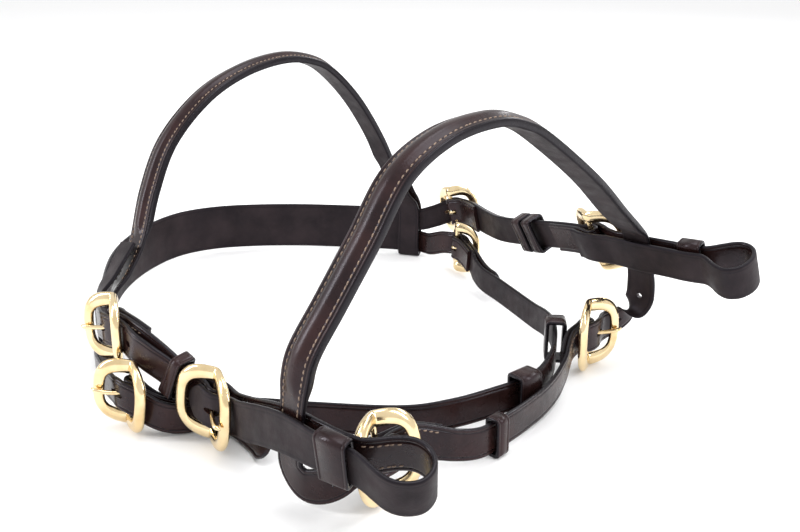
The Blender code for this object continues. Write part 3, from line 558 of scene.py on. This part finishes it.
def turn(s, n, radius, start, sweep, parts=16):
    """Arc of a route round (s, n), from the angle start through sweep, in degrees."""
    angles = [radians(start + sweep * k / parts) for k in range(parts + 1)]
    return [(s + radius * cos(a), n + radius * sin(a)) for a in angles]


def eye_from_below(s, facing):
    """Fold round the hinge bar at s, from the lower layer to the upper one."""
    arc = turn(0, 0, EYE, -90, 180)
    lead = [(-10, -LAYER), (-6.5, -LAYER - 0.25), (-3, -EYE + 0.45)]
    back = [(s0, -n0) for s0, n0 in reversed(lead)]
    return [(s + facing * s0, n0) for s0, n0 in lead + arc + back]


def over_eye(s, facing, tongue_side=1.2):
    """Billet that rises over the fold at s and lies on the layers behind it."""
    steps = [(17, tongue_side), (12, tongue_side + 0.7), (8.8, 2.9), (4.6, 4.7), (0, OVER_EYE),
             (-4.6, 5.0), (-9, ON_TOP + 0.15), (-13, ON_TOP)]
    return [(s + facing * s0, n0) for s0, n0 in steps]


def punch(s, facing):
    """Opening in a billet for the tongue of the buckle at s."""
    return tuple(sorted((s - facing * 0.6, s + facing * 8.8)))


def spare(s):
    """A punched hole that no tongue uses."""
    return s - HOLE / 2, s + HOLE / 2


def padded(start, end):
    """Thickness along a strap that is padded from start to end."""
    def thick(s):
        rise = min(max((s - start) / PAD_RISE, 0), 1, max((end - s) / PAD_RISE, 0))
        return LEATHER + (RAISED - LEATHER) * rise * rise * (3 - 2 * rise)
    return thick


def swelled(start, end):
    """Share of its width that a strap has, wider from start to end."""
    def share(s):
        rise = min(max((s - start) / SWELL_RISE, 0), 1, max((end - s) / SWELL_RISE, 0))
        return 1 + (SWELL - 1) * rise
    return share


# ---- pieces --------------------------------------------------------------------------------
def leather_shape():
    return Shape(GRAIN, FLESH, THREAD)


def cheekpiece(node, carrier, upper, lower, overlap):
    """Strap folded round a hinge bar at each end, its folded ends sewn down."""
    start, end = eye_from_below(upper, -1), eye_from_below(lower, 1)[::-1]
    route = (straight((upper + overlap, -LAYER), start[0])[:-1] + start[:-1]
             + straight(start[-1], end[0])[:-1] + end[:-1]
             + straight(end[-1], (lower - overlap, -LAYER)))
    shape = leather_shape()
    strap = Strap(carrier, route, WIDE, slots=[(-99, upper + SLOT), (lower - SLOT, 999)])
    strap.add_to(shape)
    strap.stitch(shape, upper + 12, upper + overlap - 1, pick=carrier.axes(upper + overlap)[0])
    strap.stitch(shape, lower - overlap + 1, lower - 12, pick=carrier.axes(lower - overlap)[0])
    shape.piece(node, "havana_leather")


def bit_strap(node, carrier, buckle, keeper_s, reach):
    """Strap that leaves its buckle, bends into the bit loop and is buckled back on itself."""
    apart = LEATHER + GAP + 0.65
    under = -ON_TOP - 0.1
    inner = [(buckle - 12, under), (buckle - 9, under - 0.2), (buckle - 4.5, -5.3),
             (buckle, -OVER_EYE - 0.1), (buckle + 5, -5.2), (buckle + 14, -3.6),
             (buckle + 24, -apart)]
    share = [(0, -apart), (.16, -apart - 2.2), (.38, -10), (.62, -12.5), (.86, -10),
             (1, -3.5), (.98, 4), (.82, 8.5), (.6, 9.8), (.36, 7.5), (.16, apart + 1.6),
             (0, apart)]
    first = keeper_s + 8
    bent = [tuple(p) for p in smooth([(first + f * (reach - 8), n) for f, n in share], 6)]
    outer = over_eye(buckle, 1, 1.5)
    route = (inner[:-1] + straight(inner[-1], bent[0])[:-1] + bent[:-1]
             + straight(bent[-1], (buckle + 26, apart), outer[0])[:-1] + outer)
    shape = leather_shape()
    strap = Strap(carrier, route, WIDE, tips=(0, 7), holes=[punch(buckle, 1)])
    strap.add_to(shape)
    back = carrier.axes(keeper_s)[0]
    strap.stitch(shape, first - 2, first + 15, inset=3.4, pick=back)
    shape.piece(node, "havana_leather")


def buckled_strap(node, carrier, bar_a, bar_b, width, doubled):
    """Strap between two buckles, folded round their hinge bars and sewn."""
    start, end = eye_from_below(bar_a, -1), eye_from_below(bar_b, 1)[::-1]
    route = (straight((bar_a + doubled, -LAYER), start[0])[:-1] + start[:-1]
             + straight(start[-1], (bar_a + doubled, LAYER), (bar_a + doubled + 10, 0),
                        (bar_b - doubled - 10, 0), (bar_b - doubled, LAYER), end[0])[:-1]
             + end[:-1] + straight(end[-1], (bar_b - doubled, -LAYER)))
    shape = leather_shape()
    strap = Strap(carrier, route, width, slots=[(-99, bar_a + SLOT), (bar_b - SLOT, 999)])
    strap.add_to(shape)
    ahead = carrier.axes(bar_a + doubled)[0]
    strap.stitch(shape, bar_a + 12, bar_a + doubled - 1, inset=2.9, pick=ahead)
    ahead = carrier.axes(bar_b - doubled)[0]
    strap.stitch(shape, bar_b - doubled + 1, bar_b - 12, inset=2.9, pick=ahead)
    shape.piece(node, "havana_leather")


def noseband_front(carrier):
    """Padded front of the noseband, whose two ends are billets."""
    bar_r, bar_l = carrier.bars
    cross_r, cross_l = carrier.knot(8), carrier.knot(23)
    enter, leave = over_eye(bar_r, 1, 1.0)[::-1], over_eye(bar_l, -1, 1.0)
    route = (enter[:-1] + straight(enter[-1], (bar_r + 34, 0), (cross_r, 0), (cross_l, 0),
                                   (bar_l - 34, 0), leave[0])[:-1] + leave)
    shape = leather_shape()
    spares = [spare(bar_r + 24), spare(bar_l - 26), spare(bar_l - 46)]
    strap = Strap(carrier, route, FRONT, padded(cross_r + 12, cross_l - 12), (8, 8),
                  [punch(bar_r, 1), punch(bar_l, -1), *spares],
                  swell=swelled(cross_r + 8, cross_l - 14))
    strap.add_to(shape)
    strap.stitch(shape, cross_r + 2, cross_l - 2)
    shape.piece("noseband_front", "havana_leather")


def browband(carrier):
    """Padded band with a loop round the crown strap at each end."""
    loops = (*range(2, 11), *range(24, 33))
    stops = [0, *(carrier.knot(k) for k in loops), carrier.length]
    shape = leather_shape()
    strap = Strap(carrier, straight(*[(s, 0) for s in stops]), NARROW,
                  padded(carrier.knot(12), carrier.knot(22)))
    strap.add_to(shape)
    strap.stitch(shape, carrier.knot(10) + 8, carrier.knot(24) - 8)
    shape.piece("browband", "havana_leather")


def headpiece(cheek_r, cheek_l, throat, billet, bars):
    """Crown strap, which splits at each end into a cheek billet above a throat billet."""
    upper_r, lower_r, upper_l, throat_r, throat_l = bars
    shape = leather_shape()
    main = Carrier([(x, y, HEAD_Z, *UP) for x, y in HEAD_MAIN])
    ends = (
        (billet, [(0, 0), *over_eye(throat_r, -1), (throat_r + 15, ON_TOP + 0.5),
                  (throat_r + 22, ON_TOP), (throat_r + 34, 0.6), (billet.length, 0)],
         punch(throat_r, -1), [billet.length - 12]),
        (cheek_r, [(0, 0), *over_eye(upper_r, -1), (upper_r + 25, 6.3), (upper_r + 36, 5.6),
                   (lower_r - 30, ON_TOP), (lower_r - 21, ON_TOP)],
         punch(upper_r, -1), [upper_r + 21]),
        (throat, [(throat.length, 0), *over_eye(throat_l, 1), (throat_l - 66, ON_TOP)],
         punch(throat_l, 1), [throat_l - 22, throat_l - 40]),
        (cheek_l, [(0, 0), *over_eye(upper_l, -1), (upper_l + 84, ON_TOP)],
         punch(upper_l, -1), [upper_l + 22, upper_l + 70]))
    Strap(main, straight((main.length, 0), (0, 0)), 2 * NARROW + SLIT).add_to(shape)
    for carrier, stops, used, holes in ends:
        Strap(carrier, straight(*stops), NARROW, tips=(0, 8),
              holes=[used, *[spare(s) for s in holes]]).add_to(shape)
    shape.piece("headpiece", "havana_leather")


def keeper(node, carrier, s, low, high, width, length, room=GAP):
    """Loop of leather with rounded, creased edges round a stack of straps."""
    middle, tall, wide = (low + high) / 2, (high - low) / 2 + room, width / 2 + room
    corner, steps = 0.8, 6
    radius = corner + KEEPER / 2
    path = []
    for quarter in range(4):
        sign_n = 1 if cos(pi / 4 + pi / 2 * quarter) > 0 else -1
        sign_y = 1 if sin(pi / 4 + pi / 2 * quarter) > 0 else -1
        for k in range(steps + 1):
            angle = pi / 2 * (quarter + k / steps)
            path.append((middle + (tall - corner) * sign_n, (wide - corner) * sign_y, angle))
    half, thick = length / 2, KEEPER / 2
    profile = [(-half, -thick * .4), (-half, thick * .4), (-half + .3, thick * .85),
               (-half + .8, thick), (-half + 1.2, thick), (-half + 1.5, thick - .28),
               (-half + 1.8, thick)]
    profile += [(-x, t) for x, t in reversed(profile[1:])] + [(half, -thick * .4)]
    profile += [(half - .35, -thick), (-half + .35, -thick)]
    centres, sections, share = [], [], []
    for n, y, angle in path:
        ring = []
        for x, t in profile:
            place = (n + (radius + t) * cos(angle), y + (radius + t) * sin(angle))
            first = carrier.point(s - half, *place)
            last = carrier.point(s + half, *place)
            ring.append(first + (last - first) * (x + half) / length)
        centres.append(np.zeros(3))
        sections.append(ring)
    shape = Shape(GRAIN)
    tube(shape, centres, sections, closed=True)
    edge = [1.0 if abs(x) > half - .4 else 0.3 for x, _ in profile]
    shape.strap = [np.column_stack([np.zeros(len(path) * len(profile)),
                                    np.tile(edge, len(path))])]
    shape.piece(node, "havana_leather")


def seat(carrier, s, facing):
    """Origin and axes of a buckle: towards the tongue's tip, along the hinge bar, outward."""
    along, across, out = carrier.axes(s)
    return carrier.place(s), np.array([along * facing, across * facing, out])


def buckle_frame(node, place, axes, reach, half_height):
    """Swelled oval ring with raised side bars on a round hinge bar."""
    sides, rings, fine = 20, 96, 1440
    square, bow = 3.0, 0.9
    angles = np.linspace(0, 2 * pi, fine + 1)[:-1]
    outline = np.column_stack([reach * np.sign(wave) * np.abs(wave) ** (2 / square)
                               for wave in (np.cos(angles), np.sin(angles))])
    outline[:, 1] *= half_height / reach
    run = np.concatenate([[0], np.cumsum(np.hypot(*np.diff(outline, axis=0).T))])
    even = np.linspace(0, run[-1], rings + 1)[:-1]
    path = np.column_stack([np.interp(even, run, column) for column in outline.T])
    lift = SIDE_LIFT * (np.abs(path[:, 0]) / reach) ** bow
    path = np.column_stack([path, (np.roll(lift, 1) + 2 * lift + np.roll(lift, -1)) / 4])
    ahead = unit(np.roll(path, -1, axis=0) - np.roll(path, 1, axis=0))
    sections = []
    for (x, y, _), along in zip(path, ahead):
        side = (abs(x) / reach) ** bow
        outward = unit(np.array([np.sign(x) * abs(x / reach) ** (square - 1) / reach,
                                 np.sign(y) * abs(y / half_height) ** (square - 1)
                                 / half_height, 0]))
        outward = unit(outward - along * (outward @ along))
        upward = np.cross(along, outward)
        wide, tall = (side ** 2 * a + (1 - side ** 2) * b for a, b in zip(SIDE_BAR, END_BAR))
        sections.append([outward * wide * cos(2 * pi * k / sides)
                         + upward * tall * sin(2 * pi * k / sides) for k in range(sides)])
    shape = Shape(BRASS)
    tube(shape, place + path @ axes, np.array(sections) @ axes, closed=True)
    bar = [np.array([0, y, 0]) for y in (-half_height, half_height)]
    circle = [BAR * np.array([cos(pi * k / 8), 0, sin(pi * k / 8)]) for k in range(16)]
    tube(shape, place + np.array(bar) @ axes, np.array([circle, circle]) @ axes, closed=False)
    shape.piece(node, "polished_brass")


def buckle_tongue(node, place, axes, reach):
    """Wire hooked round the hinge bar, tapering to a rounded tip on the side bar."""
    sides, hook = 12, BAR + GAP + WIRE
    rest = SIDE_LIFT + SIDE_BAR[1] + GAP + WIRE
    route = [(hook * cos(radians(a)), hook * sin(radians(a))) for a in range(350, 80, -30)]
    route += [(2.6, 4.2), (reach * 0.45, rest * 0.68), (reach * 0.82, rest - 0.1),
              (reach + 1.2, rest + 0.1)]
    route = smooth(route, 5)
    slope = unit(np.gradient(route, axis=0))
    ends = np.minimum(np.arange(len(route)), np.arange(len(route))[::-1])
    sizes = WIRE * np.clip(0.35 + 0.25 * ends, 0, 1)
    centres = [np.array([x, 0, z]) for x, z in route]
    sections = [[r * (np.array([-dz, 0, dx]) * sin(2 * pi * k / sides)
                      + np.array([0, 1, 0]) * cos(2 * pi * k / sides)) for k in range(sides)]
                for (dx, dz), r in zip(slope, sizes)]
    shape = Shape(BRASS)
    tube(shape, place + np.array(centres) @ axes, np.array(sections) @ axes, closed=False)
    shape.piece(node, "polished_brass")


def buckle(name, carrier, s, facing, reach, half_height):
    """Frame and tongue on the hinge bar at s."""
    place, axes = seat(carrier, s, facing)
    buckle_frame(f"{name}_frame", place, axes, reach, half_height)
    buckle_tongue(f"{name}_tongue", place, axes, reach)


def headcollar():
    """Make every piece, each in the place of its CAD node."""
    cheek_r, cheek_l = Carrier(CHEEK_RIGHT, 5, 10), Carrier(CHEEK_LEFT, 3, 10)
    throat, billet = Carrier(THROAT, 5, 25), Carrier(BILLET, 5)
    rear, front, brow = Carrier(REAR_NOSE, 1, 13), Carrier(FRONT_NOSE, 2, 29), Carrier(BROWBAND)
    (upper_r, lower_r), (upper_l, lower_l) = cheek_r.bars, cheek_l.bars
    (throat_r, throat_l), (nose_r, nose_l) = throat.bars, rear.bars
    hold_r, hold_l = cheek_r.knot(16) - 2, cheek_l.knot(14)

    big, small = (15.6, 16.3), (13.8, 14.3)
    buckle("crown_buckle_right", cheek_r, upper_r, -1, *small)
    buckle("crown_buckle_left", cheek_l, upper_l, -1, *small)
    buckle("cheek_buckle_right", cheek_r, lower_r, 1, *big)
    buckle("cheek_buckle_left", cheek_l, lower_l, 1, *big)
    buckle("throat_buckle_right", throat, throat_r, -1, *small)
    buckle("throat_buckle_left", throat, throat_l, 1, *small)
    buckle("noseband_buckle_right", rear, nose_r, -1, *big)
    buckle("noseband_buckle_left", rear, nose_l, 1, *big)

    headpiece(cheek_r, cheek_l, throat, billet, (upper_r, lower_r, upper_l, throat_r, throat_l))
    cheekpiece("cheekpiece_right", cheek_r, upper_r, lower_r, 26)
    cheekpiece("cheekpiece_left", cheek_l, upper_l, lower_l, 34)
    bit_strap("bit_strap_right", cheek_r, lower_r, hold_r, 40)
    bit_strap("bit_strap_left", cheek_l, lower_l, hold_l, 33)
    buckled_strap("throat_strap", throat, throat_r, throat_l, NARROW, 24)
    buckled_strap("noseband_rear", rear, nose_r, nose_l, NARROW, 34)
    noseband_front(front)
    browband(brow)

    stack = (-ON_TOP + LEATHER / 2, ON_TOP + LEATHER / 2)
    outer = (1.6, 4.4)
    keeper("cheek_keeper_right", cheek_r, lower_r - 25, *stack, WIDE, 7)
    keeper("cheek_keeper_left", cheek_l, cheek_l.knot(7) + 2, *stack, WIDE, 8)
    keeper("cheek_runner_left", cheek_l, cheek_l.knot(7) + 13, *stack, WIDE, 8)
    keeper("bit_keeper_right", cheek_r, hold_r, *outer, WIDE, 14, room=0.6)
    keeper("bit_keeper_left", cheek_l, hold_l, *outer, WIDE, 13, room=0.6)
    keeper("connector_loop", throat, throat.knot(14), -2, 5, WIDE, 14)
    keeper("throat_runner", throat, throat.knot(17) + 8, -3, 4, NARROW + 4, 11)
    keeper("noseband_keeper", rear, rear.knot(6), -1.5, 2.4, NARROW, 8)


# ---- studio --------------------------------------------------------------------------------
WORLD_STRENGTH = 0.95
FLOOR_REACH = 6          # metres from the middle to each side
LIT_POINT = Vector((0, 0, 0.05))
SENSOR, LENS = 36, 43.065                   # millimetres
CAMERA_PLACE = (0.3877, -0.3483, 0.2321)
CAMERA_AZIMUTH, CAMERA_DIP = radians(45), radians(19.6)


def studio_floor():
    """Seamless white surface that the headcollar stands on."""
    n = Nodes("studio_white")
    place = n.add("ShaderNodeTexCoord").outputs["Object"]
    n.set(Base_Color=n.mix(n.noise(place, 3.0), (0.93, 0.93, 0.935), (0.95, 0.95, 0.955)),
          Roughness=0.75, Specular_IOR_Level=0.1)
    mesh = bpy.data.meshes.new("studio_floor")
    corners = [(x * FLOOR_REACH, y * FLOOR_REACH, 0)
               for x, y in ((-1, -1), (1, -1), (1, 1), (-1, 1))]
    mesh.from_pydata(corners, [], [(0, 1, 2, 3)])
    mesh.materials.append(n.material)
    surface = bpy.data.objects.new("studio_floor", mesh)
    bpy.context.scene.collection.objects.link(surface)


def area_light(name, place, size, power):
    """Rectangular light of some watts, turned towards the headcollar."""
    data = bpy.data.lights.new(name, "AREA")
    data.shape, data.size, data.size_y, data.energy = "RECTANGLE", *size, power
    light = bpy.data.objects.new(name, data)
    light.location = place
    light.rotation_euler = (LIT_POINT - Vector(place)).to_track_quat("-Z", "Y").to_euler()
    bpy.context.scene.collection.objects.link(light)


def studio():
    """White room with one soft light above and three narrow ones round the headcollar."""
    studio_floor()
    world = bpy.data.worlds.new("studio")
    world.use_nodes = True
    world.node_tree.nodes["Background"].inputs["Color"].default_value = (1, 1, 1, 1)
    world.node_tree.nodes["Background"].inputs["Strength"].default_value = WORLD_STRENGTH
    bpy.context.scene.world = world
    area_light("overhead", (0.1, 0.1, 1.5), (1.0, 0.7), 9)
    area_light("left_strip", (-0.9, -1.2, 0.8), (0.22, 1.2), 14)
    area_light("back_strip", (0.3, 1.4, 1.0), (1.3, 0.25), 12)
    area_light("right_strip", (1.3, 0.4, 0.9), (0.2, 1.0), 9)
    bpy.context.scene.view_settings.view_transform = "Standard"


def camera():
    """View from the front right, a little above the headcollar."""
    data = bpy.data.cameras.new("camera")
    data.sensor_width, data.lens = SENSOR, LENS
    view = bpy.data.objects.new("camera", data)
    ahead = Vector((-sin(CAMERA_AZIMUTH) * cos(CAMERA_DIP),
                    cos(CAMERA_AZIMUTH) * cos(CAMERA_DIP), -sin(CAMERA_DIP)))
    view.location = CAMERA_PLACE
    view.rotation_euler = ahead.to_track_quat("-Z", "Y").to_euler()
    bpy.context.scene.collection.objects.link(view)
    bpy.context.scene.camera = view


headcollar()
studio()
camera()
